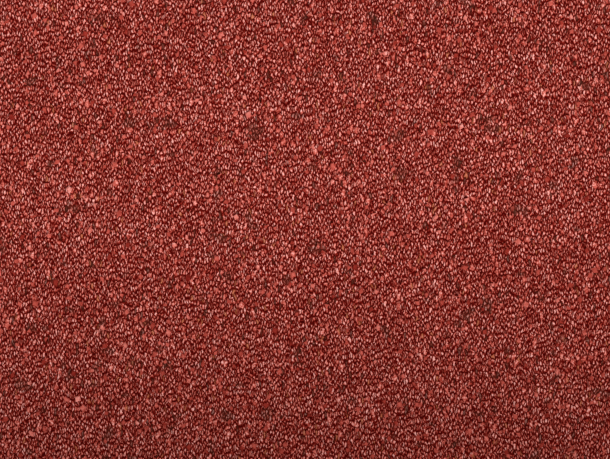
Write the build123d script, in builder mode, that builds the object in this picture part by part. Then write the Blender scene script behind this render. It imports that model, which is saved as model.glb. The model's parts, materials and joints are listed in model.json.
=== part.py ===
"""A roll of mineral-surfaced roofing felt that lies on the floor with its loose end run out flat.

The felt is one sheet. It is wound round the bore half a turn at a time, each half turn on a wider
radius, leaves the roll over the top, falls to the floor in front of it and runs out flat,
granules upwards. The hairline between the turns is open at both ends of the roll, where every
turn shows, and solid between.

X runs along the roll, the loose end points to -Y and Z is up. The origin is on the floor, in
the middle of the space that the roll and its loose end take.
"""

import os
from math import cos, pi, radians, sin

from build123d import *

# The sheet, in millimetres
felt_width = 1000.0
felt_length = 8000.0
felt_thickness = 2.8

# The winding: each turn clears the one below it by the turn gap
bore_radius = 38.0
turn_gap = 0.4
gap_depth = 4.0

# The loose end: the angle where it leaves the roll, counted from the back over the top
leaving_angle = 150.0
loose_length = 840.0
bend_radius = 120.0

QUARTER_TURN = 90.0
HALF_TURN = 180.0
turn_pitch = felt_thickness + turn_gap
first_radius = bore_radius + turn_gap / 2


def half_turn_length(radius):
    """Length of sheet, along its middle, that half a turn with this underside radius takes."""
    return pi * (radius + felt_thickness / 2)


def wind():
    """Underside radius and sweep of each stretch of the winding, split into inner and last turn."""
    halves = []
    radius = first_radius
    length_left = felt_length - loose_length
    while length_left > half_turn_length(radius):
        halves.append((radius, HALF_TURN))
        length_left -= half_turn_length(radius)
        radius += turn_pitch / 2
    last_sweep = HALF_TURN * length_left / half_turn_length(radius)
    split_radius = radius - turn_pitch
    inner = halves[:-2] + [(split_radius, last_sweep)]
    outer = [(split_radius, HALF_TURN - last_sweep), halves[-1], (radius, last_sweep)]
    return inner, [stretch for stretch in outer if stretch[1] > 0]


def first_edge(height):
    """Point of the sheet's inner edge this high above the underside, and where it heads."""
    outwards = Vector(cos(radians(first_angle)), sin(radians(first_angle)))
    return outwards * (first_radius + height), outwards.rotate(Axis.Z, QUARTER_TURN)


def follow(stretches, height, start, mode=Mode.ADD):
    """Runs a line at this height above the underside through stretches of the winding."""
    point, direction = start
    for radius, sweep in stretches:
        arc = JernArc(point, direction, radius + height, sweep, mode=mode)
        point, direction = arc @ 1, arc % 1
    return point, direction


def run_out(height, start):
    """Runs a line at this height down the fall, round the bend and to the tip of the loose end."""
    point, direction = start
    fall = Line(point, point + direction * fall_length)
    bend = JernArc(fall @ 1, fall % 1, bend_radius + felt_thickness - height, -bend_sweep)
    flat = Line(bend @ 1, bend @ 1 + (bend % 1) * flat_length)
    return flat @ 1


inner_turns, last_turn = wind()
first_angle = leaving_angle - sum(sweep for _, sweep in inner_turns + last_turn)

# Where the two faces of the sheet begin, where the last turn begins and where it leaves the roll
inner_start = follow(inner_turns, felt_thickness, first_edge(felt_thickness), Mode.PRIVATE)
with BuildLine() as last_turn_outside:
    top_leaves = follow(last_turn, felt_thickness, inner_start)
underside_leaves = follow(inner_turns + last_turn, 0, first_edge(0), Mode.PRIVATE)
roll_box = last_turn_outside.line.bounding_box()

# The roll and the flat run rest on one floor, so the fall takes up the height between them
bend_sweep = leaving_angle - QUARTER_TURN
bend_drop = (bend_radius + felt_thickness) * (1 - cos(radians(bend_sweep)))
bend_reach = (bend_radius + felt_thickness) * sin(radians(bend_sweep))
fall_drop = underside_leaves[0].Y - roll_box.min.Y - bend_drop
fall_length = fall_drop / sin(radians(bend_sweep))
bend_length = (bend_radius + felt_thickness / 2) * radians(bend_sweep)
flat_length = loose_length - fall_length - bend_length
fall_reach = fall_length * cos(radians(bend_sweep))
tip_position = underside_leaves[0].X - fall_reach - bend_reach - flat_length

# The section is drawn round the axis of the roll, which this puts in its place above the floor
axis_point = (0, -(roll_box.max.X + tip_position) / 2, -roll_box.min.Y)
section_plane = Plane(axis_point, x_dir=(0, 1, 0), z_dir=(1, 0, 0))

with BuildPart() as felt_roll:
    # The roll with its turns closed up, and the loose end
    with BuildSketch(section_plane):
        with BuildLine():
            follow(last_turn, felt_thickness, inner_start)
            top_tip = run_out(felt_thickness, top_leaves)
            underside_tip = run_out(0, underside_leaves)
            Line(top_tip, underside_tip)
            Line(underside_leaves[0], inner_start[0])
        make_face()
        Circle(bore_radius, mode=Mode.SUBTRACT)
    extrude(amount=felt_width / 2, both=True)

    # The space between the turns and inside the first one, let into both ends
    with BuildSketch(section_plane.offset(felt_width / 2 - gap_depth)):
        with BuildLine():
            follow(inner_turns + last_turn, 0, first_edge(0))
            follow(inner_turns, felt_thickness, first_edge(felt_thickness))
            Line(first_edge(0)[0], first_edge(felt_thickness)[0])
            Line(underside_leaves[0], inner_start[0])
        make_face()
    space_between = extrude(amount=gap_depth, mode=Mode.SUBTRACT)
    mirror(space_between, about=Plane.YZ, mode=Mode.SUBTRACT)

felt_roll.part.label = "felt_roll"
os.makedirs("parts", exist_ok=True)
export_step(felt_roll.part, "parts/felt_roll.step")
print(f"roll {roll_box.size.Y:.1f} across, flat run {flat_length:.0f}")
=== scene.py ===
"""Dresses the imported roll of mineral-surfaced roofing felt for rendering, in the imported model's own frame.

The felt is one sheet, 8 m long. It is spun round the two centres of its winding, run down to the
floor and thickened, and every larger granule on the faces that show is a solid chip.
"""

import json
import logging
import math
from dataclasses import dataclass, field
from enum import Enum
from typing import Any, ClassVar

import bpy
import numpy as np
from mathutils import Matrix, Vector

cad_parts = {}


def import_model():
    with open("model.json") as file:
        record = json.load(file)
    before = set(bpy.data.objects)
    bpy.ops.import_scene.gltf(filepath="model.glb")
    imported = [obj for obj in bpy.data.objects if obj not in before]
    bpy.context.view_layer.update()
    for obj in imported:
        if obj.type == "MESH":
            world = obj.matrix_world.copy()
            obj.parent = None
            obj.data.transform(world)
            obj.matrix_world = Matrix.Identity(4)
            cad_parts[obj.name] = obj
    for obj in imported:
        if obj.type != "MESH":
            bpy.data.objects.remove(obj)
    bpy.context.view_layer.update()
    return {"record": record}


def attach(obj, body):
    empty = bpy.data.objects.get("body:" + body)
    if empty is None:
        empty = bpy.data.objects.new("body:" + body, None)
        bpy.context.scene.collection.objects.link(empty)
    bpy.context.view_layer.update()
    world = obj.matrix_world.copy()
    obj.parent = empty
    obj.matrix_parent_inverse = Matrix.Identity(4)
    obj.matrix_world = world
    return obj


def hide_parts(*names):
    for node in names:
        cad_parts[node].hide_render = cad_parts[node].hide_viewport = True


log = logging.getLogger("felt_roll")

MM = 0.001

Colour = tuple[float, float, float]
Socket = bpy.types.NodeSocket

MID_GREY: Colour = (0.5, 0.5, 0.5)

FLOAT, VECTOR = "NodeSocketFloat", "NodeSocketVector"


class Face(Enum):
    """The faces of the sheet, in the order of its material slots."""

    MINERAL = 0
    SANDED = 1
    CUT = 2


class Course(Enum):
    """What the sheet's line does along a stretch of it."""

    WOUND = "wound"
    FALLING = "falling"
    BENDING = "bending"
    FLAT = "flat"


@dataclass(frozen=True)
class Stretch:
    """One stretch of the mineral face's line, seen from the end of the roll.

    Attributes:
        centre: Y and Z of the centre that an arc turns about.
        sweep: Angle that an arc turns through, in radians, from +Y towards +Z.
        heading: Y and Z of a straight stretch's direction.
    """

    course: Course
    length: float
    steps: int
    centre: tuple[float, float] = (0.0, 0.0)
    sweep: float = 0.0
    heading: tuple[float, float] = (0.0, 0.0)


@dataclass(frozen=True)
class Repeat:
    """The patch of sheet after which its finishes repeat, so that one small map holds them sharply.

    Attributes:
        across: Its size across the sheet, a whole number of the sheet's columns of faces.
        along: Its size along the sheet.
    """

    across: float = 250 * MM
    along: float = 375 * MM


REPEAT = Repeat()

HALF_PATCH = (REPEAT.across / 2, REPEAT.along / 2, 0.0)


def unit(angle: float) -> np.ndarray:
    """Unit vector in the Y-Z plane at this angle from +Y towards +Z."""
    return np.array([math.cos(angle), math.sin(angle)])


def smooth(value: np.ndarray) -> np.ndarray:
    """Smooth step from 0 at nought to 1 at one."""
    value = np.clip(value, 0.0, 1.0)
    return value * value * (3 - 2 * value)


def read(items: Any, name: str, kind: type, size: int = 1) -> np.ndarray:
    """Reads a property of all the vertices, corners or faces of a mesh, with this many numbers to each."""
    values = np.empty(len(items) * size, kind)
    items.foreach_get(name, values)
    return values.reshape(-1, size) if size > 1 else values


def add_map(mesh: bpy.types.Mesh, name: str, places: np.ndarray) -> None:
    """Adds a UV map that has these places at the mesh's corners."""
    mesh.uv_layers.new(name=name).uv.foreach_set("vector", places.astype(np.float32).ravel())


class ShaderTree:
    """A node tree with short calls to add and join its nodes."""

    def __init__(self, tree: bpy.types.NodeTree) -> None:
        """Takes over a tree and empties it."""
        self.tree = tree
        self.tree.nodes.clear()

    def add(self, kind: str, **settings: Any) -> bpy.types.Node:
        """Adds a node of this type, with its settings by name, and returns it."""
        node = self.tree.nodes.new(kind)
        for name, value in settings.items():
            setattr(node, name, value)
        return node

    def feed(self, node: bpy.types.Node, socket: int | str, source: Any) -> None:
        """Joins a node's input to an output, or sets it to a plain value."""
        if isinstance(source, Socket):
            self.tree.links.new(source, node.inputs[socket])
        else:
            node.inputs[socket].default_value = source

    def math(self, operation: str, *values: Any, clamp: bool = False) -> Socket:
        """Adds a Math node over these values and returns its output."""
        node = self.add("ShaderNodeMath", operation=operation, use_clamp=clamp)
        for number, value in enumerate(values):
            self.feed(node, number, value)
        return node.outputs[0]

    def vector(self, operation: str, *values: Any) -> Socket:
        """Adds a Vector Math node over these values and returns its output."""
        node = self.add("ShaderNodeVectorMath", operation=operation)
        for number, value in enumerate(values):
            self.feed(node, number, value)
        return node.outputs["Value" if operation in ("DOT_PRODUCT", "LENGTH") else "Vector"]

    def split(self, value: Any, kind: str = "XYZ") -> Any:
        """Splits a vector, or with the kind Color a colour, and returns its three parts."""
        node = self.add("ShaderNodeSeparate" + kind)
        self.feed(node, 0, value)
        return node.outputs

    def combine(self, *parts: Any) -> Socket:
        """Puts three values together as a vector."""
        node = self.add("ShaderNodeCombineXYZ")
        for number, part in enumerate(parts):
            self.feed(node, number, part)
        return node.outputs[0]

    def ramp(self, value: Any, low: float, high: float) -> Socket:
        """Smooth step of a value from low to high, put out between 0 and 1."""
        node = self.add("ShaderNodeMapRange", interpolation_type="SMOOTHSTEP")
        self.feed(node, "Value", value)
        self.feed(node, "From Min", low)
        self.feed(node, "From Max", high)
        return node.outputs["Result"]

    def sheet_place(self) -> Socket:
        """Puts out the place on the sheet from its own UV map, in metres."""
        return self.add("ShaderNodeUVMap", uv_map="sheet").outputs[0]

    def fold(self, vector: Any) -> Socket:
        """Brings a place on the sheet back into the first patch of the repeat."""
        patches = self.vector("MULTIPLY", vector, (1 / REPEAT.across, 1 / REPEAT.along, 0.0))
        return self.vector("MULTIPLY", self.vector("FRACTION", patches), (REPEAT.across, REPEAT.along, 0.0))

    def off_middle(self, vector: Any) -> Any:
        """Puts out how far a place is from the middle of its patch, across and along."""
        return self.split(self.vector("ABSOLUTE", self.vector("SUBTRACT", vector, HALF_PATCH)))

    def ring(self, vector: Any) -> tuple[Socket, Socket]:
        """Winds the sheet's two directions into rings, so that a noise on them repeats without a seam.

        Args:
            vector: Place on the sheet, in metres.

        Returns:
            The first three coordinates, and the fourth.
        """
        turns = (math.tau / REPEAT.across, math.tau / REPEAT.along, 0.0)
        radii = (REPEAT.across / math.tau, REPEAT.along / math.tau)
        angles = self.split(self.vector("MULTIPLY", vector, turns))
        parts = [
            self.math("MULTIPLY", self.math(wave, angles[number]), radii[number])
            for number in range(len(radii))
            for wave in ("COSINE", "SINE")
        ]
        return self.combine(*parts[:3]), parts[3]

    def noise(self, place: Any, scale: float, detail: float = 2.0, colour: bool = False) -> Socket:
        """Adds a noise, which repeats with the patch where it is read on rings.

        Args:
            place: A vector, or the rings.
            scale: Waves per metre.
            detail: Finer layers.
            colour: Whether three noises are wanted, as a colour.

        Returns:
            Its value or its colour.
        """
        on_rings = isinstance(place, tuple)
        node = self.add("ShaderNodeTexNoise", noise_dimensions="4D" if on_rings else "3D")
        self.feed(node, "Vector", place[0] if on_rings else place)
        if on_rings:
            self.feed(node, "W", place[1])
        self.feed(node, "Scale", scale)
        self.feed(node, "Detail", detail)
        return node.outputs["Color" if colour else "Fac"]

    def blend(self, factor: Any, first: Any, second: Any) -> Socket:
        """Mixes two values and returns the result."""
        node = self.add("ShaderNodeMix", data_type="FLOAT")
        for socket, value in ((0, factor), (2, first), (3, second)):
            self.feed(node, socket, value)
        return node.outputs[0]

    def mix(self, factor: Any, first: Any, second: Any) -> Socket:
        """Mixes two colours and returns the result."""
        node = self.add("ShaderNodeMix", data_type="RGBA")
        self.feed(node, 0, factor)
        for socket, value in ((6, first), (7, second)):
            self.feed(node, socket, (*value, 1.0) if isinstance(value, tuple) else value)
        return node.outputs[2]

    def tones(self, value: Any, stops: tuple[tuple[float, Colour], ...]) -> Socket:
        """Adds a colour ramp with these stops and returns its colour."""
        node = self.add("ShaderNodeValToRGB")
        elements = node.color_ramp.elements
        while len(elements) < len(stops):
            elements.new(1.0)
        for element, (position, colour) in zip(elements, stops, strict=True):
            element.position = position
            element.color = (*colour, 1.0)
        self.feed(node, 0, value)
        return node.outputs[0]

    def bump(self, height: Any, distance: float, strength: float) -> Socket:
        """Adds a Bump node over this height and returns its normal."""
        node = self.add("ShaderNodeBump")
        self.feed(node, "Strength", strength)
        self.feed(node, "Distance", distance)
        self.feed(node, "Height", height)
        return node.outputs[0]


class Group:
    """A shader node group with named inputs and outputs."""

    def __init__(self, name: str, inputs: dict[str, str], outputs: dict[str, str]) -> None:
        """Makes an empty group with sockets of these types by name."""
        self.tree = bpy.data.node_groups.new(name, "ShaderNodeTree")
        for in_out, sockets in (("INPUT", inputs), ("OUTPUT", outputs)):
            for socket, kind in sockets.items():
                self.tree.interface.new_socket(socket, in_out=in_out, socket_type=kind)
        self.nodes = ShaderTree(self.tree)
        self.inputs = self.nodes.add("NodeGroupInput").outputs
        self.outputs = self.nodes.add("NodeGroupOutput")

    def put_out(self, **sources: Socket) -> None:
        """Joins the group's outputs by name."""
        for name, source in sources.items():
            self.nodes.feed(self.outputs, name, source)

    def place(self, material: ShaderTree, **values: Any) -> Any:
        """Places the group in a material, fed by input name with _ for a space, and returns its outputs."""
        node = material.add("ShaderNodeGroup", node_tree=self.tree)
        for name, value in values.items():
            material.feed(node, name.replace("_", " "), value)
        return node.outputs


class GranuleBed(Group):
    """Chips pressed side by side into bitumen: tone, mask of the chips, height, and where each chip lies.

    Attributes:
        ASKEW: How far the pattern of the chips is turned on the sheet, in radians.
        SCATTER: How irregularly they lie, between 0 and 1.
        LOWEST: How high the lowest chips stand, as a share of the highest.
    """

    ASKEW = 0.55
    SCATTER = 0.88
    LOWEST = 0.5

    def __init__(self) -> None:
        """Builds the group."""
        super().__init__(
            "granule_bed",
            {"Vector": VECTOR, "Per Metre": FLOAT, "Stretch": FLOAT, "Gap": FLOAT, "Tilt": FLOAT},
            {"Tone": FLOAT, "Chip": FLOAT, "Height": FLOAT, "Kind": FLOAT, "Place": VECTOR},
        )
        n, given = self.nodes, self.inputs
        squeeze = n.combine(
            n.math("MULTIPLY", given["Per Metre"], given["Stretch"]),
            n.math("DIVIDE", given["Per Metre"], given["Stretch"]),
            given["Per Metre"],
        )
        place = self.turned(n.vector("MULTIPLY", given["Vector"], squeeze), self.ASKEW)
        cells = n.add("ShaderNodeTexVoronoi", voronoi_dimensions="2D", feature="F1")
        edges = n.add("ShaderNodeTexVoronoi", voronoi_dimensions="2D", feature="DISTANCE_TO_EDGE")
        for node in (cells, edges):
            n.feed(node, "Vector", place)
            n.feed(node, "Scale", 1.0)
            n.feed(node, "Randomness", self.SCATTER)
        random = n.split(cells.outputs["Color"], "Color")
        # The chip mask falls to nought in the gaps; the mineral face uses it to paint dark bitumen and painted
        # shade there.
        chip = n.ramp(edges.outputs["Distance"], 0.0, given["Gap"])
        lean = n.vector("SUBTRACT", cells.outputs["Color"], MID_GREY)
        off_centre = n.vector("SUBTRACT", place, cells.outputs["Position"])
        slope = n.math("MULTIPLY", n.vector("DOT_PRODUCT", lean, off_centre), given["Tilt"])
        level = n.math("MULTIPLY_ADD", random["Blue"], 1 - self.LOWEST, self.LOWEST)
        height = n.math("MULTIPLY", chip, n.math("ADD", level, slope))
        middle = n.vector("DIVIDE", self.turned(cells.outputs["Position"], -self.ASKEW), squeeze)
        self.put_out(Tone=random["Red"], Kind=random["Green"], Chip=chip, Height=height, Place=middle)

    def turned(self, vector: Socket, angle: float) -> Socket:
        """Turns a place about the sheet's normal."""
        node = self.nodes.add("ShaderNodeVectorRotate", rotation_type="Z_AXIS")
        self.nodes.feed(node, "Vector", vector)
        self.nodes.feed(node, "Angle", angle)
        return node.outputs[0]


class Mottle(Group):
    """Slow unevenness of tone over a whole sheet, put out around zero."""

    PATCHES_PER_METRE = 48.0
    SPOTS_PER_METRE = 210.0

    def __init__(self) -> None:
        """Builds the group."""
        super().__init__("mottle", {"Vector": VECTOR, "Strength": FLOAT}, {"Shift": FLOAT})
        n, given = self.nodes, self.inputs
        ring = n.ring(given["Vector"])
        patches = n.noise(ring, self.PATCHES_PER_METRE)
        total = n.math("ADD", patches, n.noise(ring, self.SPOTS_PER_METRE, detail=1.0))
        self.put_out(Shift=n.math("MULTIPLY", n.math("SUBTRACT", total, 1.0), given["Strength"]))


class Grit(Group):
    """Fine sand or dust: a speckle mask and its height."""

    GRAIN_EDGE = (0.5, 0.25)
    FAINTEST = 0.4

    def __init__(self) -> None:
        """Builds the group."""
        super().__init__(
            "grit", {"Vector": VECTOR, "Per Metre": FLOAT, "Cover": FLOAT}, {"Speck": FLOAT, "Height": FLOAT}
        )
        n, given = self.nodes, self.inputs
        place = n.vector("SCALE", given["Vector"])
        n.feed(place.node, "Scale", given["Per Metre"])
        grains = n.add("ShaderNodeTexVoronoi", voronoi_dimensions="3D", feature="F1")
        n.feed(grains, "Vector", place)
        n.feed(grains, "Scale", 1.0)
        random = n.split(grains.outputs["Color"], "Color")
        shown = n.math("LESS_THAN", random["Red"], given["Cover"])
        speck = n.math("MULTIPLY", n.ramp(grains.outputs["Distance"], *self.GRAIN_EDGE), shown)
        strength = n.math("MULTIPLY_ADD", random["Green"], 1 - self.FAINTEST, self.FAINTEST)
        self.put_out(Speck=n.math("MULTIPLY", speck, strength), Height=speck)


@dataclass(frozen=True)
class Groups:
    """The effects that several finishes share."""

    bed: GranuleBed
    mottle: Mottle
    grit: Grit


def new_material(name: str, roughness: float, specular: float) -> tuple[Any, ShaderTree, bpy.types.Node]:
    """Makes a material with a Principled BSDF.

    Args:
        name: The material's name.
        roughness: Its roughness.
        specular: Its specular level.

    Returns:
        The material, its tree and the Principled BSDF.
    """
    material = bpy.data.materials.new(name)
    material.use_nodes = True
    tree = ShaderTree(material.node_tree)
    shader = tree.add("ShaderNodeBsdfPrincipled")
    shader.inputs["Roughness"].default_value = roughness
    shader.inputs["Specular IOR Level"].default_value = specular
    output = tree.add("ShaderNodeOutputMaterial")
    tree.feed(output, "Surface", shader.outputs["BSDF"])
    return material, tree, shader


GRANULE_TONES: tuple[tuple[float, Colour], ...] = (
    (0.0, (0.057, 0.0003, 0.0001)),
    (0.22, (0.157, 0.0028, 0.0011)),
    (0.48, (0.326, 0.0300, 0.0183)),
    (0.72, (0.572, 0.1000, 0.0720)),
    (0.90, (0.845, 0.2600, 0.2080)),
    (1.0, (0.985, 0.4800, 0.4300)),
)


@dataclass(frozen=True)
class Stain:
    """A colour that some spots of a face take."""

    strength: float
    colour: Colour

    def over(self, n: ShaderTree, colour: Any, mask: Any) -> Socket:
        """Lays the stain over a colour where a mask shows it."""
        return n.mix(n.math("MULTIPLY", mask, self.strength), colour, self.colour)


@dataclass(frozen=True)
class BedLay:
    """How the chips of one bed lie.

    Attributes:
        per_metre: Chips in a metre, where they lie close.
        stretch: How much longer than wide they lie along the sheet.
        gap: Width of the dark rim round each chip, as a share of its size: bitumen, and painted shade.
        tilt: How far their tops lean.
    """

    per_metre: float
    stretch: float
    gap: float
    tilt: float

    def place(self, n: ShaderTree, groups: Groups, vector: Any) -> Any:
        """Places the bed in a material, folded into the repeat, and returns its outputs."""
        lay = {"Per_Metre": self.per_metre, "Stretch": self.stretch, "Gap": self.gap, "Tilt": self.tilt}
        return groups.bed.place(n, Vector=n.fold(vector), **lay)


@dataclass(frozen=True)
class MineralFinish:
    """The granule-covered face: a close bed of small chips with larger ones among them.

    Attributes:
        coarse_shift: How far the coarse bed is moved, so that its seams lie elsewhere.
        large: The share of that bed's chips that stand out among the small ones.
        large_rim: The values of that bed's chip mask between which a large chip begins.
        large_lift: How much lighter their tone is than that of the small ones.
        large_stand: How much higher they stand, as a share of the relief.
        wobble: How far the chips' outlines stray, across and along the sheet.
        crumbs: Contrast of the specks on the chips.
        bare_rim: The values of a noise between which a bare patch begins.
        seam: Half the width of the strip of chips that hides where two patches of the repeat meet.
    """

    fine: BedLay = BedLay(per_metre=1220.0, stretch=1.7, gap=0.37, tilt=1.6)
    coarse: BedLay = BedLay(per_metre=740.0, stretch=1.4, gap=0.40, tilt=0.9)
    coarse_shift: tuple[float, float, float] = (70 * MM, 110 * MM, 0.0)
    large: float = 0.20
    large_rim: tuple[float, float] = (0.35, 0.60)
    large_lift: float = -0.08
    large_stand: float = 0.35
    darkest: float = 0.79
    spread: float = 0.17
    wobble: tuple[float, float] = (1.10 * MM, 1.35 * MM)
    wobble_per_metre: float = 950.0
    crumbs: float = 1.1
    crumbs_per_metre: float = 2800.0
    mottling: float = 0.065
    rusty: Stain = Stain(0.8, (0.50, 0.145, 0.060))
    rusty_share: float = 0.015
    sooty: Stain = Stain(0.7, (0.050, 0.012, 0.006))
    sooty_share: float = 0.02
    bare: Stain = Stain(0.42, (0.050, 0.018, 0.010))
    bare_per_metre: float = 260.0
    bare_rim: tuple[float, float] = (0.60, 0.69)
    relief: float = 0.45 * MM
    relief_strength: float = 0.7
    seam: float = 2.2 * MM

    def material(self, groups: Groups) -> bpy.types.Material:
        """Builds the material, which follows the sheet's own UV map."""
        material, n, shader = new_material("mineral_face", roughness=0.85, specular=0.04)
        along = n.sheet_place()
        ring = n.ring(along)
        wobble = n.vector("SUBTRACT", n.noise(ring, self.wobble_per_metre, detail=1.0, colour=True), MID_GREY)
        wobbled = n.vector("ADD", along, n.vector("MULTIPLY", wobble, (*self.wobble, 0.0)))
        fine = self.small_chips(n, groups, wobbled)
        coarse = self.coarse.place(n, groups, n.vector("ADD", wobbled, self.coarse_shift))
        large = self.large_chips(n, coarse)
        tone = n.blend(large, self.tone_with_gap_shade(n, fine), self.tone_with_gap_shade(n, coarse, self.large_lift))
        shift = groups.mottle.place(n, Vector=along, Strength=self.mottling)[0]
        crumbs = n.math("SUBTRACT", n.noise(ring, self.crumbs_per_metre, detail=1.0), 0.5)
        tone = n.math("ADD", n.math("ADD", tone, shift), n.math("MULTIPLY", crumbs, self.crumbs), clamp=True)
        rusty = n.math("MULTIPLY", n.math("GREATER_THAN", fine["Kind"], 1 - self.rusty_share), fine["Chip"])
        colour = self.rusty.over(n, n.tones(tone, GRANULE_TONES), rusty)
        colour = self.sooty.over(n, colour, n.math("LESS_THAN", fine["Kind"], self.sooty_share))
        colour = self.bare.over(n, colour, n.ramp(n.noise(ring, self.bare_per_metre), *self.bare_rim))
        n.feed(shader, "Base Color", colour)
        standing = n.math("MULTIPLY", large, n.math("ADD", coarse["Height"], self.large_stand))
        height = n.math("MAXIMUM", fine["Height"], standing)
        n.feed(shader, "Normal", n.bump(height, self.relief, self.relief_strength))
        return material

    def small_chips(self, n: ShaderTree, groups: Groups, place: Any) -> dict[str, Socket]:
        """Places the fine bed twice, half a patch apart, so that each hides the other's seam.

        Args:
            n: The material's tree.
            groups: The shared effects.
            place: Place on the sheet, in metres.

        Returns:
            The bed's outputs by name.
        """
        under = self.fine.place(n, groups, place)
        over = self.fine.place(n, groups, n.vector("ADD", place, HALF_PATCH))
        off = n.off_middle(over["Place"])
        shown = n.math("LESS_THAN", n.math("MINIMUM", off[0], off[1]), self.seam)
        return {name: n.blend(shown, under[name], over[name]) for name in ("Tone", "Chip", "Height", "Kind")}

    def large_chips(self, n: ShaderTree, coarse: Any) -> Socket:
        """Masks the large chips, without those whose middle lies on a seam of the repeat.

        Args:
            n: The material's tree.
            coarse: The coarse bed's outputs.

        Returns:
            The mask.
        """
        picked = n.math("GREATER_THAN", coarse["Kind"], 1 - self.large)
        large = n.math("MULTIPLY", n.ramp(coarse["Chip"], *self.large_rim), picked)
        off = n.off_middle(coarse["Place"])
        clear = [n.math("LESS_THAN", off[side], HALF_PATCH[side] - self.seam / 2) for side in range(2)]
        return n.math("MULTIPLY", large, n.math("MULTIPLY", *clear))

    def tone_with_gap_shade(self, n: ShaderTree, bed: Any, lift: float = 0.0) -> Socket:
        """Puts out the tone of a bed's chips, dark in the gaps between them and at their rims: the bitumen's
        own colour there, and painted shade.
        """
        tone = n.math("MULTIPLY_ADD", bed["Tone"], self.spread, self.darkest + lift)
        # Multiplying by the chip mask darkens the gaps and rims: partly the bitumen's colour, partly painted
        # shade of the gaps.
        return n.math("MULTIPLY", bed["Chip"], tone)


@dataclass(frozen=True)
class ChipFinish:
    """The larger granules, each in a tone of its own."""

    veins: float = 0.35
    veins_per_metre: float = 1500.0

    def material(self) -> bpy.types.Material:
        """Builds the material, which reads each chip's tone from the mesh."""
        material, n, shader = new_material("granule_chips", roughness=0.7, specular=0.10)
        tone = n.add("ShaderNodeAttribute", attribute_name="tone").outputs["Fac"]
        place = n.add("ShaderNodeTexCoord").outputs["Object"]
        veins = n.math("SUBTRACT", n.noise(place, self.veins_per_metre), 0.5)
        tone = n.math("ADD", tone, n.math("MULTIPLY", veins, self.veins), clamp=True)
        n.feed(shader, "Base Color", n.tones(tone, GRANULE_TONES))
        return material


@dataclass(frozen=True)
class SandedFinish:
    """The underside: black bitumen dressed with fine grey sand so that it doesn't stick to itself."""

    bitumen: Colour = (0.016, 0.014, 0.013)
    sand: Colour = (0.135, 0.122, 0.108)
    sand_per_metre: float = 2300.0
    cover: float = 0.62
    strength: float = 0.75
    mottling: float = 0.5
    relief: float = 0.15 * MM
    relief_strength: float = 0.6

    def material(self, groups: Groups) -> bpy.types.Material:
        """Builds the material, which follows the sheet's own UV map."""
        material, n, shader = new_material("sanded_underside", roughness=0.7, specular=0.4)
        along = n.sheet_place()
        grit = groups.grit.place(n, Vector=n.fold(along), Per_Metre=self.sand_per_metre, Cover=self.cover)
        shift = groups.mottle.place(n, Vector=along, Strength=self.mottling)[0]
        sandy = n.math("ADD", n.math("MULTIPLY", grit["Speck"], self.strength), shift, clamp=True)
        n.feed(shader, "Base Color", n.mix(sandy, self.bitumen, self.sand))
        n.feed(shader, "Normal", n.bump(grit["Height"], self.relief, self.relief_strength))
        return material


@dataclass(frozen=True)
class CutFinish:
    """The cut edge: granules on top, bitumen, the fibre carrier in the middle, bitumen and sand.

    Attributes:
        granules: Depths between which the granules end, as shares of the thickness.
        carrier_starts: Depths between which the carrier begins.
        carrier_ends: Depths between which it ends.
        ragged: How far the depths stray.
    """

    thickness: float
    granules: tuple[float, float] = (0.28, 0.16)
    granules_per_metre: float = 1100.0
    granules_lift: float = -0.06
    carrier_starts: tuple[float, float] = (0.44, 0.50)
    carrier_ends: tuple[float, float] = (0.68, 0.60)
    carrier: Stain = Stain(0.55, (0.085, 0.068, 0.052))
    bitumen: Colour = (0.018, 0.015, 0.013)
    dust: Stain = Stain(0.4, (0.12, 0.10, 0.085))
    dust_per_metre: float = 1500.0
    cover: float = 0.30
    ragged: float = 0.35
    ragged_per_metre: float = 700.0
    relief: float = 0.3 * MM
    relief_per_metre: float = 900.0
    relief_strength: float = 0.7

    def material(self, groups: Groups) -> bpy.types.Material:
        """Builds the material, whose UV map gives the depth in the sheet and the run of its edge."""
        material, n, shader = new_material("cut_edge", roughness=0.65, specular=0.4)
        along = n.sheet_place()
        ring = n.ring(along)
        depth = n.math("DIVIDE", n.split(along)[0], self.thickness)
        strays = n.math("SUBTRACT", n.noise(ring, self.ragged_per_metre), 0.5)
        depth = n.math("MULTIPLY_ADD", strays, self.ragged, depth)
        carrier = n.math("MULTIPLY", n.ramp(depth, *self.carrier_starts), n.ramp(depth, *self.carrier_ends))
        dust = groups.grit.place(n, Vector=n.fold(along), Per_Metre=self.dust_per_metre, Cover=self.cover)
        colour = self.dust.over(n, self.bitumen, dust["Speck"])
        colour = self.carrier.over(n, colour, carrier)
        tone = n.math("ADD", n.noise(ring, self.granules_per_metre, detail=1.0), self.granules_lift)
        colour = n.mix(n.ramp(depth, *self.granules), colour, n.tones(tone, GRANULE_TONES))
        n.feed(shader, "Base Color", colour)
        rough = n.noise(ring, self.relief_per_metre, detail=3.0)
        n.feed(shader, "Normal", n.bump(rough, self.relief, self.relief_strength))
        return material


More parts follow.
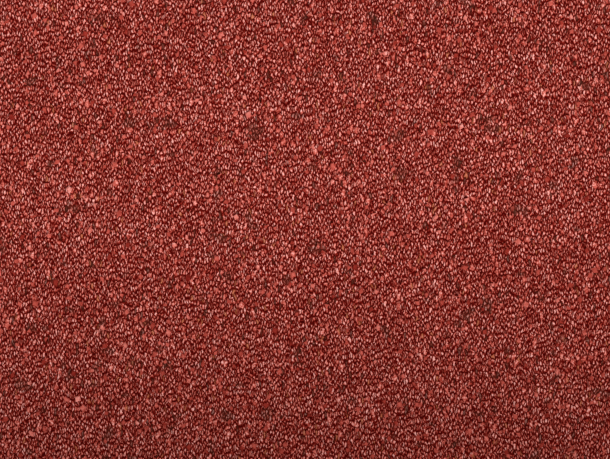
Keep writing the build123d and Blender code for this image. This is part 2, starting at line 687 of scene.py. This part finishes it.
@dataclass
class SheetFace:
    """The mineral face as a grid of points, on which the granules are set.

    Attributes:
        points: Rows by columns of points, in metres.
        normals: The unit normal at each of them, out of the granules.
        lengths: How far along the sheet each row lies, in metres.
    """

    points: np.ndarray
    normals: np.ndarray
    lengths: np.ndarray

    @classmethod
    def of(cls, points: np.ndarray, lengths: np.ndarray) -> "SheetFace":
        """Works out the normals of a grid of points."""
        along = np.gradient(points, axis=0)
        across = np.gradient(points, axis=1)
        normals = np.cross(along, across)
        normals /= np.linalg.norm(normals, axis=2, keepdims=True)
        return cls(points, normals, lengths)

    def at(self, row: np.ndarray, column: np.ndarray) -> tuple[np.ndarray, np.ndarray, np.ndarray]:
        """Finds places on the face.

        Args:
            row: Place along the sheet, in rows.
            column: Place across the sheet, in columns.

        Returns:
            The points, the unit normals and the unit directions along the sheet.
        """
        r = np.minimum(row.astype(int), self.points.shape[0] - 2)
        c = np.minimum(column.astype(int), self.points.shape[1] - 2)
        u, v = (row - r)[:, None], (column - c)[:, None]

        def blend(grid: np.ndarray) -> np.ndarray:
            """Bilinear value of a grid at the places."""
            near = grid[r, c] * (1 - v) + grid[r, c + 1] * v
            far = grid[r + 1, c] * (1 - v) + grid[r + 1, c + 1] * v
            return near * (1 - u) + far * u

        normal = blend(self.normals)
        normal /= np.linalg.norm(normal, axis=1, keepdims=True)
        along = self.points[r + 1, c] - self.points[r, c]
        along -= normal * (along * normal).sum(1, keepdims=True)
        along /= np.linalg.norm(along, axis=1, keepdims=True)
        return blend(self.points), normal, along


@dataclass(frozen=True)
class Waves:
    """Slow, irregular unevenness made of crossing waves.

    Attributes:
        seed: Picks the waves' directions and phases.
        turn: How far a wave turns from the sheet's length at most, in radians.
    """

    seed: int
    lengths: tuple[float, ...]
    turn: float = 0.9

    def at(self, along: np.ndarray, across: np.ndarray | float) -> np.ndarray:
        """Works out the unevenness.

        Args:
            along: Place along the sheet, in metres.
            across: Place across the sheet, in metres.

        Returns:
            Values between -1 and 1.
        """
        random = np.random.default_rng(self.seed)
        total = np.zeros(np.broadcast(along, across).shape)
        for length in self.lengths:
            turn, phase = random.uniform(-self.turn, self.turn), random.uniform(0, math.tau)
            total += np.sin(math.tau / length * (along * math.cos(turn) + across * math.sin(turn)) + phase)
        return total / len(self.lengths)


@dataclass
class FeltSheet:
    """The wound sheet with its loose end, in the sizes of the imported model.

    Attributes:
        axis: Y and Z of the roll's axis, in metres.
        leaving_angle: Where the loose end leaves the roll, from the back over the top.
        bend_rows: How much closer the rows lie in the bend.
        wander: How far a turn stands out of the roll's end at most.
        swell: How far the last turn stands off the one below it at most.
        pressed: Height up to which the roll's weight presses the last turn on.
        map_strips: Where the three faces lie on the map that they are baked through, from and to.
        map_start: The patch along the sheet that fills that map.
    """

    axis: tuple[float, float]
    width: float = 1000 * MM
    length: float = 8000 * MM
    thickness: float = 2.8 * MM
    bore_radius: float = 38 * MM
    turn_gap: float = 0.4 * MM
    leaving_angle: float = math.radians(150)
    loose_length: float = 840 * MM
    bend_radius: float = 120 * MM
    columns: int = 24
    smooth_below: float = math.radians(40)
    steps_per_turn: int = 60
    row_pitch: float = 14 * MM
    bend_rows: float = 1.4
    wander: float = 1.6 * MM
    wander_fade: float = 500 * MM
    wander_waves: Waves = Waves(3, (1.9, 1.13, 0.71, 0.43))
    swell: float = 0.8 * MM
    swell_waves: Waves = Waves(5, (0.61, 0.37, 0.23))
    pressed: float = 3 * MM
    pressed_fade: float = 40 * MM
    ripple: float = 2.4 * MM
    ripple_fade: float = 160 * MM
    ripple_waves: Waves = Waves(11, (0.83, 0.52, 0.34, 0.27))
    curl: float = 5.0 * MM
    curl_length: float = 170 * MM
    curl_middle: float = 0.75
    curl_corner: float = 0.5
    corner_power: int = 6
    map_strips: tuple[tuple[float, float], ...] = ((0.010, 0.675), (0.700, 0.890), (0.915, 0.985))
    map_start: int = 20
    stretches: list[Stretch] = field(default_factory=list)
    start: tuple[float, float] = (0.0, 0.0)

    def lay_out(self) -> None:
        """Works out the stretches of the mineral face's line, from the bore to the tip."""
        pitch = self.thickness + self.turn_gap
        radius = self.bore_radius + self.turn_gap / 2
        left = self.length - self.loose_length
        arcs: list[tuple[float, float]] = []
        while left > 0.001 * MM:
            middle = radius + self.thickness / 2
            sweep = min(math.pi, left / middle)
            arcs.append((radius, sweep))
            left -= middle * sweep
            radius += pitch / 2
        angle = self.leaving_angle - sum(sweep for _, sweep in arcs)
        centre = np.array(self.axis)
        self.start = tuple(centre + (arcs[0][0] + self.thickness) * unit(angle))
        for number, (radius, sweep) in enumerate(arcs):
            steps = max(1, round(self.steps_per_turn * sweep / math.tau))
            length = (radius + self.thickness) * sweep
            self.stretches.append(Stretch(Course.WOUND, length, steps, tuple(centre), sweep))
            angle += sweep
            if number + 1 < len(arcs):
                centre = centre - (arcs[number + 1][0] - radius) * unit(angle)
        self.lay_out_loose_end(centre + arcs[-1][0] * unit(angle))

    def lay_out_loose_end(self, underside: np.ndarray) -> None:
        """Adds the fall, the bend and the flat run.

        Args:
            underside: Y and Z of the underside where the sheet leaves the roll.
        """
        sweep = self.leaving_angle - math.pi / 2
        outer_bend = self.bend_radius + self.thickness
        fall = (underside[1] - outer_bend * (1 - math.cos(sweep))) / math.sin(sweep)
        heading = unit(self.leaving_angle + math.pi / 2)
        centre = underside + heading * fall + outer_bend * unit(self.leaving_angle)
        flat = self.loose_length - fall - (self.bend_radius + self.thickness / 2) * sweep
        bend = self.bend_radius * sweep
        rows = self.row_pitch
        self.stretches.append(Stretch(Course.FALLING, fall, round(fall / rows), heading=tuple(heading)))
        steps = round(bend / rows * self.bend_rows)
        self.stretches.append(Stretch(Course.BENDING, bend, steps, tuple(centre), -sweep))
        self.stretches.append(Stretch(Course.FLAT, flat, round(flat / rows), heading=(-1.0, 0.0)))

    def length_to(self, course: Course) -> float:
        """Length of the mineral face before its first stretch of this course."""
        first = next(n for n, stretch in enumerate(self.stretches) if stretch.course is course)
        return sum(stretch.length for stretch in self.stretches[:first])

    def last_turn(self) -> float:
        """Length of the last turn's mineral face."""
        return math.tau * (self.axis[1] - self.thickness)

    def build(self, finishes: list[bpy.types.Material]) -> tuple[bpy.types.Object, SheetFace]:
        """Makes the sheet.

        Args:
            finishes: The materials of the mineral face, the underside and the cut edge.

        Returns:
            The finished sheet, and its mineral face as a grid.
        """
        sheet = self.first_row()
        for stretch in self.stretches:
            self.run(stretch)
        bpy.ops.object.mode_set(mode="OBJECT")
        co = read(sheet.data.vertices, "co", np.float32, 3).astype(float)
        index = self.grid(co)
        lengths = self.row_lengths()
        co[index] = points = self.settle(co[index], lengths)
        sheet.data.vertices.foreach_set("co", co.astype(np.float32).ravel())
        face = SheetFace.of(points, lengths)
        self.face_outwards(sheet, face, index)
        for finish in finishes:
            sheet.data.materials.append(finish)
        self.thicken(sheet)
        self.lay_maps(sheet.data, index, lengths)
        return sheet, face

    def first_row(self) -> bpy.types.Object:
        """Makes the sheet's inner edge as a row of edges, selected in edit mode."""
        bpy.ops.object.select_all(action="DESELECT")
        bpy.ops.mesh.primitive_grid_add(x_subdivisions=self.columns, y_subdivisions=1, size=1.0)
        sheet = bpy.context.object
        sheet.name = sheet.data.name = "felt_sheet"
        bpy.ops.object.mode_set(mode="EDIT")
        bpy.ops.mesh.select_all(action="SELECT")
        bpy.ops.transform.resize(value=(self.width, 0.0, 0.0))
        bpy.ops.mesh.remove_doubles(threshold=0.01 * MM)
        bpy.ops.transform.translate(value=(0.0, *self.start))
        return sheet

    def run(self, stretch: Stretch) -> None:
        """Runs the row of edges that is selected along one stretch."""
        if stretch.sweep:
            bpy.ops.mesh.spin(
                steps=stretch.steps, angle=-stretch.sweep, center=(0.0, *stretch.centre), axis=(1.0, 0.0, 0.0)
            )
            return
        step = stretch.length / stretch.steps
        for _ in range(stretch.steps):
            move = (0.0, stretch.heading[0] * step, stretch.heading[1] * step)
            bpy.ops.mesh.extrude_region_move(TRANSFORM_OT_translate={"value": move})

    def grid(self, co: np.ndarray) -> np.ndarray:
        """Numbers of the vertices by row, and by place across the sheet in each row."""
        count = self.columns + 1
        across = co[:, 0].reshape(-1, count)
        return np.arange(len(across))[:, None] * count + np.argsort(across, axis=1)

    def row_lengths(self) -> np.ndarray:
        """How far along the mineral face each row lies."""
        steps = [stretch.length / stretch.steps for stretch in self.stretches for _ in range(stretch.steps)]
        return np.concatenate([[0.0], np.cumsum(steps)])

    def settle(self, points: np.ndarray, lengths: np.ndarray) -> np.ndarray:
        """Gives the sheet the unevenness of felt that was wound and run out by hand.

        Args:
            points: The mineral face's grid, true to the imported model.
            lengths: How far along the sheet each row lies.

        Returns:
            The grid with its turns out of line, its last turn slack and its flat run a little wavy.
        """
        points = points.copy()
        along = lengths[:, None]
        self.shift_turns(points, along)
        self.slacken_last_turn(points, along)
        self.lift_flat_run(points, along)
        return points

    def shift_turns(self, points: np.ndarray, along: np.ndarray) -> None:
        """Moves the turns out of line at the roll's ends."""
        wound = smooth((self.length_to(Course.FALLING) - along) / self.wander_fade)
        points[:, :, 0] += self.wander * wound * self.wander_waves.at(along, 0.0)

    def slacken_last_turn(self, points: np.ndarray, along: np.ndarray) -> None:
        """Stands the last turn off the one below it, except where the roll lies on it."""
        turn = self.last_turn()
        slack = np.clip((along - (self.length_to(Course.FALLING) - turn)) / turn, 0.0, 1.0)
        slack = np.sin(slack * math.pi) ** 2 * smooth((points[:, :, 2] - self.pressed) / self.pressed_fade)
        swell = self.swell * slack * (0.5 + 0.5 * self.swell_waves.at(along, points[:, :, 0]))
        outwards = points[:, :, 1:] - np.array(self.axis)
        outwards /= np.linalg.norm(outwards, axis=2, keepdims=True)
        points[:, :, 1:] += outwards * swell[:, :, None]

    def lift_flat_run(self, points: np.ndarray, along: np.ndarray) -> None:
        """Gives the flat run its waves and springs its tip up, its corners most."""
        across = points[:, :, 0]
        lying = smooth((along - self.length_to(Course.FLAT)) / self.ripple_fade)
        points[:, :, 2] += self.ripple * lying * (0.5 + 0.5 * self.ripple_waves.at(along, across))
        tip = np.clip((along - (along[-1] - self.curl_length)) / self.curl_length, 0.0, 1.0)
        corner = np.abs(across / (self.width / 2)) ** self.corner_power
        points[:, :, 2] += self.curl * tip**2 * (self.curl_middle + self.curl_corner * corner)

    def face_outwards(self, sheet: bpy.types.Object, face: SheetFace, index: np.ndarray) -> None:
        """Turns the faces so that their normals leave the granules."""
        bpy.ops.object.mode_set(mode="EDIT")
        bpy.ops.mesh.select_all(action="SELECT")
        bpy.ops.mesh.normals_make_consistent(inside=False)
        bpy.ops.object.mode_set(mode="OBJECT")
        row, column = len(index) // 2, self.columns // 2
        vertex = sheet.data.vertices[int(index[row, column])]
        if vertex.normal.dot(Vector(face.normals[row, column])) < 0:
            bpy.ops.object.mode_set(mode="EDIT")
            bpy.ops.mesh.flip_normals()
            bpy.ops.object.mode_set(mode="OBJECT")

    def thicken(self, sheet: bpy.types.Object) -> None:
        """Gives the sheet its thickness under the mineral face."""
        solidify = sheet.modifiers.new("thickness", "SOLIDIFY")
        solidify.thickness = self.thickness
        solidify.offset = -1.0
        solidify.material_offset = Face.SANDED.value
        solidify.material_offset_rim = Face.CUT.value
        bpy.ops.object.modifier_apply(modifier="thickness")
        bpy.ops.object.shade_smooth_by_angle(angle=self.smooth_below)

    def lay_maps(self, mesh: bpy.types.Mesh, index: np.ndarray, lengths: np.ndarray) -> None:
        """Adds the UV map that the finishes follow, in metres, and the one that they are baked through.

        Args:
            mesh: The sheet's mesh, with its thickness.
            index: Numbers of the mineral face's vertices by row and column.
            lengths: How far along the sheet each row lies.
        """
        across = np.linspace(0.0, self.width, self.columns + 1)
        row_of, column_of = np.empty(index.size, int), np.empty(index.size, int)
        row_of[index] = np.arange(len(lengths))[:, None]
        column_of[index] = np.arange(len(across))[None, :]
        corners = read(mesh.loops, "vertex_index", np.int32)
        starts = read(mesh.polygons, "loop_start", np.int32)
        of_face = np.zeros(len(corners), int)
        of_face[starts[1:]] = 1
        of_face = np.cumsum(of_face)
        kind = read(mesh.polygons, "material_index", np.int32)[of_face]
        row, column = row_of[corners % index.size], column_of[corners % index.size]
        deep = (corners >= index.size).astype(float)
        end_edge = np.maximum.reduceat(row, starts) == np.minimum.reduceat(row, starts)
        run = np.where(end_edge[of_face], across[column], lengths[row])
        cut = kind == Face.CUT.value
        place = np.stack([across[column], lengths[row]], 1)
        place[cut] = np.stack([deep * self.thickness, run], 1)[cut]
        add_map(mesh, "sheet", place)
        columns = round(REPEAT.across / (self.width / self.columns))
        first = np.minimum.reduceat(column, starts)[of_face]
        share = np.where(cut, deep, (first % columns + column - first) / columns)
        low, high = np.array(self.map_strips)[kind].T
        baked = np.stack([low + share * (high - low), run / REPEAT.along - self.map_start], 1)
        add_map(mesh, "OFBake", baked)


@dataclass(frozen=True)
class ChipShape:
    """One shape of granule: its corners, which fill about a unit cube, and its faces.

    Attributes:
        BROKEN: How far the corners stray.
        LEAN: How steeply the top leans at most.
    """

    FOOT_RADIUS: ClassVar[float] = 0.5
    TOP_RADIUS: ClassVar[float] = 0.33
    BROKEN: ClassVar[float] = 0.11
    LEAN: ClassVar[float] = 0.45

    corners: np.ndarray
    faces: tuple[tuple[int, ...], ...]

    @classmethod
    def model(cls, sides: int, seed: int) -> "ChipShape":
        """Models a crushed granule.

        Args:
            sides: Corners that it has seen from above.
            seed: Picks how it is broken.

        Returns:
            The shape, open below, where the bitumen holds it.
        """
        bpy.ops.object.select_all(action="DESELECT")
        bpy.ops.mesh.primitive_cone_add(
            vertices=sides, radius1=cls.FOOT_RADIUS, radius2=cls.TOP_RADIUS, depth=1.0, location=(0, 0, 0.5)
        )
        chip = bpy.context.object
        bpy.ops.object.transform_apply(location=True, rotation=True, scale=True)
        corners = np.array([vertex.co for vertex in chip.data.vertices])
        top = corners[:, 2] > 0.5
        faces = tuple(tuple(face.vertices) for face in chip.data.polygons if any(top[list(face.vertices)]))
        random = np.random.default_rng(seed)
        corners[:, :2] += random.uniform(-cls.BROKEN, cls.BROKEN, (len(corners), 2))
        corners[top, 2] += corners[top, :2] @ random.uniform(-cls.LEAN, cls.LEAN, 2)
        bpy.data.objects.remove(chip)
        return cls(corners, faces)


@dataclass
class GranuleCourse:
    """The larger granules on one part of the mineral face, as one piece.

    Attributes:
        start: Where on the sheet's length the course begins, in metres.
        end: Where it ends.
        jitter: How far a granule strays along and across, as shares of the pitch.
        margin: Bare strip along the sheet's long edges.
        clearance: Lowest height above the floor that a granule is set at.
        odd_sizes: Factors on the length, each as likely as the others.
        slimness: Least and greatest length, as a multiple of the breadth.
        turn: How far the granules turn from the sheet's length, in radians.
        map_fill: How much of its cell on the baked map a granule takes.
    """

    name: str
    start: float
    end: float
    seed: int
    pitch: float = 4.05 * MM
    jitter: tuple[float, float] = (0.42, 0.48)
    margin: float = 1.3 * MM
    clearance: float = 0.9 * MM
    length: tuple[float, float] = (1.15 * MM, 1.85 * MM)
    odd_sizes: tuple[float, ...] = (0.85, 1.0, 1.0, 1.18)
    slimness: tuple[float, float] = (1.05, 1.85)
    height: tuple[float, float] = (0.30 * MM, 0.62 * MM)
    sunk: float = 0.14 * MM
    turn: float = 0.62
    tilt: float = 0.10
    tone: tuple[float, float] = (0.60, 0.12)
    darkest: float = 0.05
    map_fill: float = 0.62

    def build(
        self, face: SheetFace, width: float, shapes: list[ChipShape], finish: bpy.types.Material
    ) -> bpy.types.Object:
        """Sets the granules and joins them.

        Args:
            face: The mineral face.
            width: The sheet's width, in metres.
            shapes: The shapes that they have.
            finish: Their material.

        Returns:
            The finished piece.
        """
        places, normals, along = face.at(*self.scatter(face, width))
        kept = places[:, 2] > self.clearance
        places, normals, along = places[kept], normals[kept], along[kept]
        random = np.random.default_rng(self.seed + 1)
        kind = random.integers(0, len(shapes), len(places))
        axes = self.crush(random, normals, along)
        tone = np.clip(random.normal(*self.tone, len(places)), self.darkest, 1.0)
        mesh = self.join(shapes, kind, places - normals * self.sunk, axes, tone)
        mesh.materials.append(finish)
        piece = bpy.data.objects.new(self.name, mesh)
        bpy.context.collection.objects.link(piece)
        return piece

    def scatter(self, face: SheetFace, width: float) -> tuple[np.ndarray, np.ndarray]:
        """Picks the places of the granules.

        Args:
            face: The mineral face.
            width: The sheet's width, in metres.

        Returns:
            Place along the sheet in rows, and across it in columns.
        """
        random = np.random.default_rng(self.seed)
        rows = int((self.end - self.start) / self.pitch)
        columns = int((width - 2 * self.margin) / self.pitch)
        along, across = np.meshgrid(np.arange(rows), np.arange(columns), indexing="ij")
        far, wide = self.jitter
        along = along + 0.5 * (across % 2) + random.uniform(-far, far, along.shape)
        across = across + 0.5 + random.uniform(-wide, wide, across.shape)
        along = self.start + along.ravel() * self.pitch
        across = self.margin + across.ravel() * (width - 2 * self.margin) / columns
        kept = (along > self.start) & (along < self.end)
        row = np.interp(along[kept], face.lengths, np.arange(len(face.lengths)))
        return row, across[kept] / width * (face.points.shape[1] - 1)

    def crush(self, random: np.random.Generator, normals: np.ndarray, along: np.ndarray) -> np.ndarray:
        """Picks the size and the lie of each granule.

        Args:
            random: Draws them.
            normals: The face's unit normal at each granule.
            along: The unit direction along the sheet there.

        Returns:
            The three axes of each granule, as long as it is in their directions.
        """
        count = len(normals)
        length = random.uniform(*self.length, count) * random.choice(self.odd_sizes, count)
        breadth = length / random.uniform(*self.slimness, count)
        height = random.uniform(*self.height, count) + self.sunk
        turn = random.normal(0.0, self.turn, count)[:, None]
        tilt = random.normal(0.0, self.tilt, (count, 2))
        first = along * np.cos(turn) + np.cross(normals, along) * np.sin(turn)
        second = np.cross(normals, first)
        upright = normals + first * tilt[:, :1] + second * tilt[:, 1:]
        upright /= np.linalg.norm(upright, axis=1, keepdims=True)
        return np.stack([first, second, upright], 1) * np.stack([length, breadth, height], 1)[:, :, None]

    def join(
        self,
        shapes: list[ChipShape],
        kind: np.ndarray,
        places: np.ndarray,
        axes: np.ndarray,
        tone: np.ndarray,
    ) -> bpy.types.Mesh:
        """Joins the granules into one mesh, with a cell of the baked map for each.

        Args:
            shapes: The shapes that they have.
            kind: Number of each granule's shape.
            places: Where they stand.
            axes: The three axes of each.
            tone: The tone of each.

        Returns:
            The mesh.
        """
        cells = math.ceil(math.sqrt(len(kind)))
        cell = np.stack([np.arange(len(kind)) % cells, np.arange(len(kind)) // cells], 1) + 0.5
        vertices, faces, tones, spots, made = [], [], [], [], 0
        for number, shape in enumerate(shapes):
            chosen = kind == number
            corners = places[chosen][:, None, :] + np.einsum("kc,ncd->nkd", shape.corners, axes[chosen])
            spot = cell[chosen][:, None, :] + self.map_fill * shape.corners[None, :, :2]
            vertices.append(corners.reshape(-1, 3))
            spots.append(spot.reshape(-1, 2) / cells)
            tones.append(np.repeat(tone[chosen], len(shape.corners)))
            first_corner = made + np.arange(len(corners)) * len(shape.corners)
            for polygon in shape.faces:
                faces.extend((first_corner[:, None] + np.array(polygon)).tolist())
            made += len(vertices[-1])
        mesh = bpy.data.meshes.new(self.name)
        mesh.from_pydata(np.concatenate(vertices), [], faces)
        toned = mesh.attributes.new("tone", "FLOAT", "POINT").data
        toned.foreach_set("value", np.concatenate(tones).astype(np.float32))
        add_map(mesh, "OFBake", np.concatenate(spots)[read(mesh.loops, "vertex_index", np.int32)])
        return mesh


def seen_ray(n: ShaderTree) -> Socket:
    """Puts out 1 where the camera sees a surface, straight on or in a gloss or through glass."""
    path = n.add("ShaderNodeLightPath").outputs
    mirrored = n.math("MAXIMUM", path["Is Glossy Ray"], path["Is Transmission Ray"])
    return n.math("MAXIMUM", path["Is Camera Ray"], mirrored)


@dataclass(frozen=True)
class Lamp:
    """A square soft lamp that faces the roll."""

    name: str
    place: tuple[float, float, float]
    size: float
    power: float
    target: tuple[float, float, float] = (0.0, 0.1, 0.05)

    def hang(self) -> None:
        """Hangs the lamp."""
        data = bpy.data.lights.new(self.name, "AREA")
        data.shape, data.size, data.energy = "SQUARE", self.size, self.power
        lamp = bpy.data.objects.new(self.name, data)
        lamp.location = self.place
        lamp.rotation_euler = (Vector(self.target) - Vector(self.place)).to_track_quat("-Z", "Y").to_euler()
        bpy.context.collection.objects.link(lamp)


@dataclass(frozen=True)
class Studio:
    """Pale floor, soft lamps and the camera that looks straight down on the flat run.

    Attributes:
        fade: Where the floor begins to fade into the backdrop and where it has, in metres from the middle.
        seen_width: The width of felt that the camera sees.
    """

    floor_size: float = 9.0
    floor_colour: Colour = (0.70, 0.695, 0.685)
    fade: tuple[float, float] = (0.7, 1.8)
    backdrop: Colour = (0.86, 0.86, 0.85)
    light: Colour = (0.44, 0.437, 0.432)
    lamps: tuple[Lamp, ...] = (
        Lamp("key", (-2.05, 2.75, 2.38), 0.7, 146.0),
        Lamp("fill", (1.1, -2.9, 2.5), 2.3, 46.0),
    )
    lens: float = 85.0
    sensor: float = 36.0
    seen_width: float = 143 * MM
    aim: tuple[float, float, float] = (60 * MM, 107 * MM, 2.8 * MM)

    def build(self) -> bpy.types.Object:
        """Sets up the studio and returns its floor."""
        floor = self.floor()
        self.world()
        for lamp in self.lamps:
            lamp.hang()
        self.camera()
        bpy.context.scene.view_settings.view_transform = "Standard"
        return floor

    def floor(self) -> bpy.types.Object:
        """Lays the floor."""
        bpy.ops.object.select_all(action="DESELECT")
        bpy.ops.mesh.primitive_plane_add(size=self.floor_size)
        floor = bpy.context.object
        floor.name = "studio_floor"
        material, n, shader = new_material("pale_floor", roughness=0.9, specular=0.2)
        shader.inputs["Base Color"].default_value = (*self.floor_colour, 1.0)
        far = n.vector("LENGTH", n.add("ShaderNodeTexCoord").outputs["Object"])
        shown = n.add("ShaderNodeEmission")
        n.feed(shown, "Color", (*self.backdrop, 1.0))
        mixed = n.add("ShaderNodeMixShader")
        n.feed(mixed, 0, n.math("MULTIPLY", n.ramp(far, *self.fade), seen_ray(n)))
        n.feed(mixed, 1, shader.outputs["BSDF"])
        n.feed(mixed, 2, shown.outputs[0])
        output = next(node for node in n.tree.nodes if node.type == "OUTPUT_MATERIAL")
        n.feed(output, "Surface", mixed.outputs[0])
        floor.data.materials.append(material)
        return floor

    def world(self) -> None:
        """Lights the room evenly, and shows it pale."""
        world = bpy.data.worlds.new("studio_world")
        world.use_nodes = True
        n = ShaderTree(world.node_tree)
        light = n.add("ShaderNodeBackground")
        n.feed(light, "Color", n.mix(seen_ray(n), self.light, self.backdrop))
        output = n.add("ShaderNodeOutputWorld")
        n.feed(output, "Surface", light.outputs[0])
        bpy.context.scene.world = world

    def camera(self) -> None:
        """Sets the camera over the flat run, square to it, with the roll below the picture."""
        data = bpy.data.cameras.new("photo_camera")
        data.lens, data.sensor_width, data.sensor_fit = self.lens, self.sensor, "HORIZONTAL"
        data.clip_start = 10 * MM
        camera = bpy.data.objects.new("photo_camera", data)
        x, y, z = self.aim
        camera.location = (x, y, z + self.seen_width * self.lens / self.sensor)
        camera.rotation_euler = (0.0, 0.0, math.pi)
        bpy.context.collection.objects.link(camera)
        bpy.context.scene.camera = camera


# Corners that each shape of granule has, seen from above
CHIP_SIDES = (4, 4, 4, 3, 4, 5, 4, 3)

# Where the last turn starts it lies under the turn's end, and the tip's edge is bare
HIDDEN_START = 30 * MM
BARE_TIP = 1.5 * MM


def main() -> None:
    """Builds the roll, its finishes and the studio, and reports each piece."""
    logging.basicConfig(level=logging.INFO, format="%(message)s")
    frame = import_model()
    bore = next(mount for mount in frame["record"]["mounts"] if mount["name"] == "bore")
    sheet = FeltSheet(axis=(bore["pos_m"][1], bore["pos_m"][2]))
    groups = Groups(GranuleBed(), Mottle(), Grit())
    finishes = (MineralFinish(), SandedFinish(), CutFinish(sheet.thickness))
    sheet.lay_out()
    felt, face = sheet.build([finish.material(groups) for finish in finishes])
    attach(felt, "root")
    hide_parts("felt_roll")
    log.info("%s: %d faces, %.3f m of mineral face", felt.name, len(felt.data.polygons), face.lengths[-1])

    chips = ChipFinish().material()
    shapes = [ChipShape.model(sides, seed) for seed, sides in enumerate(CHIP_SIDES)]
    leaves, flat, tip = sheet.length_to(Course.FALLING), sheet.length_to(Course.FLAT), face.lengths[-1]
    turn = sheet.last_turn()
    courses = [
        GranuleCourse("granules_roll_front", leaves - turn + HIDDEN_START, leaves - turn / 2, 101),
        GranuleCourse("granules_roll_back", leaves - turn / 2, leaves, 102),
        GranuleCourse("granules_fall", leaves, flat, 103),
        GranuleCourse("granules_flat_near", flat, (flat + tip) / 2, 104),
        GranuleCourse("granules_flat_tip", (flat + tip) / 2, tip - BARE_TIP, 105),
    ]
    for course in courses:
        piece = course.build(face, sheet.width, shapes, chips)
        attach(piece, "root")
        log.info("%s: %d faces", piece.name, len(piece.data.polygons))

    Studio().build()


if __name__ == "__main__":
    main()
